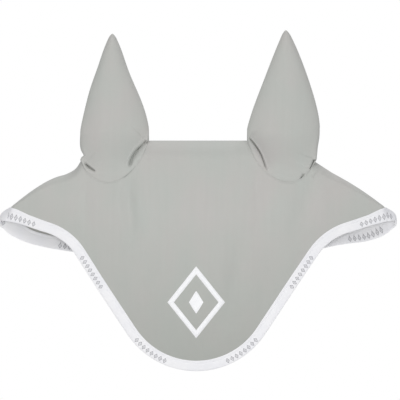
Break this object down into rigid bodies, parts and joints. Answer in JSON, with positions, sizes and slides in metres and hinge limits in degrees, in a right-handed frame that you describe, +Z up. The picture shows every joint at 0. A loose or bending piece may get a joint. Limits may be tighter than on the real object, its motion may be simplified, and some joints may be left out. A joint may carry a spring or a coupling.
{
  "type": "horse ear bonnet",
  "caption": "Soft ear bonnet for a horse: pointed forehead panel, shorter neck panel, hollow ear covers, bound hem and embroidered lozenge.",
  "frame": {"origin": "centre of the flat underside of the poll tape, which rests on the horse's poll between the ears", "axes": "+Z up, the forehead panel faces -Y, +X towards the horse's left ear"},
  "size_m": [0.5368, 0.0911, 0.4565],
  "materials": {
    "shell_fabric": "light grey stretch knit, matte, fine horizontal rib",
    "binding_tape": "white woven tape with small grey woven marks",
    "embroidery_thread": "white satin-stitch embroidery, slight sheen",
    "seam_thread": "grey sewing thread"
  },
  "bodies": {
    "root": {"left_front_panel": "shell_fabric", "right_front_panel": "shell_fabric", "front_binding": "binding_tape", "front_binding_stitch": "seam_thread", "left_wing_binding": "binding_tape", "right_wing_binding": "binding_tape", "poll_tape": "binding_tape", "badge_frame": "embroidery_thread", "badge_core": "embroidery_thread", "left_ear_base_seam": "seam_thread", "right_ear_base_seam": "seam_thread"},
    "neck": {"left_back_panel": "shell_fabric", "right_back_panel": "shell_fabric", "back_binding": "binding_tape", "back_binding_stitch": "seam_thread"},
    "left_ear_foot": {"left_ear_base": "shell_fabric"},
    "left_ear_cover": {"left_ear_front": "shell_fabric", "left_ear_back": "shell_fabric", "left_ear_seam": "seam_thread"},
    "right_ear_foot": {"right_ear_base": "shell_fabric"},
    "right_ear_cover": {"right_ear_front": "shell_fabric", "right_ear_back": "shell_fabric", "right_ear_seam": "seam_thread"}
  },
  "joints": [
    {"name": "hood_open", "type": "hinge", "parent": "root", "child": "neck", "pos_m": [0, 0, 0.00576], "axis": [1, 0, 0], "range_deg": [0, 20]},
    {"name": "left_ear_tilt", "type": "hinge", "parent": "root", "child": "left_ear_foot", "pos_m": [0.111, 0, -0.00984], "axis": [0.9563, 0, -0.2924], "range_deg": [-25, 30], "stiffness_Nm_per_rad": 0.1},
    {"name": "left_ear_turn", "type": "hinge", "parent": "left_ear_foot", "child": "left_ear_cover", "pos_m": [0.1153, 0, 0.02026], "axis": [0, 0, 1], "range_deg": [-40, 40], "stiffness_Nm_per_rad": 0.05},
    {"name": "right_ear_tilt", "type": "hinge", "parent": "root", "child": "right_ear_foot", "pos_m": [-0.111, 0, -0.00984], "axis": [0.9563, 0, 0.2924], "range_deg": [-25, 30], "stiffness_Nm_per_rad": 0.1},
    {"name": "right_ear_turn", "type": "hinge", "parent": "right_ear_foot", "child": "right_ear_cover", "pos_m": [-0.1153, 0, 0.02026], "axis": [0, 0, -1], "range_deg": [-40, 40], "stiffness_Nm_per_rad": 0.05}
  ]
}
